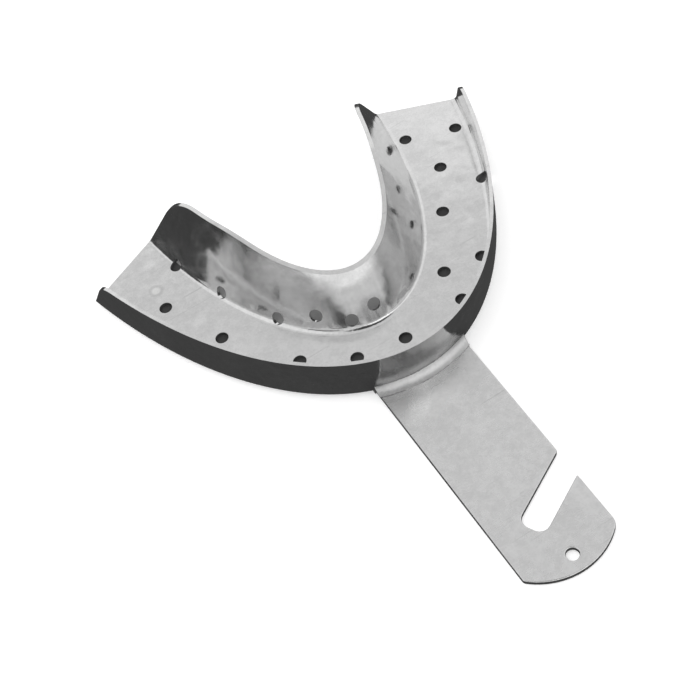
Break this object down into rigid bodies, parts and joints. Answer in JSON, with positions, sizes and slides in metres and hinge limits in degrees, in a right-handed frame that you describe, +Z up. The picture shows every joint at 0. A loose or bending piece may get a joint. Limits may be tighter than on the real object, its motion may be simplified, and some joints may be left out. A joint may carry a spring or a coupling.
{
  "type": "impression tray",
  "caption": "Perforated horseshoe impression tray for the lower jaw: an open pressed channel with a flat, notched handle brazed to its front.",
  "frame": {"origin": "middle of the tray's bounding box, on its underside", "axes": "+X across the arch, +Y towards the open ends of the arms, with the handle at -Y, +Z up out of the channel"},
  "size_m": [0.0806, 0.102, 0.0137],
  "materials": {
    "shell_steel": "polished stainless steel",
    "handle_steel": "satin stainless steel",
    "braze": "dressed silver braze"
  },
  "bodies": {
    "root": {"tray_shell": "shell_steel", "handle_plate": "handle_steel", "upper_braze": "braze", "lower_braze": "braze"}
  },
  "joints": []
}
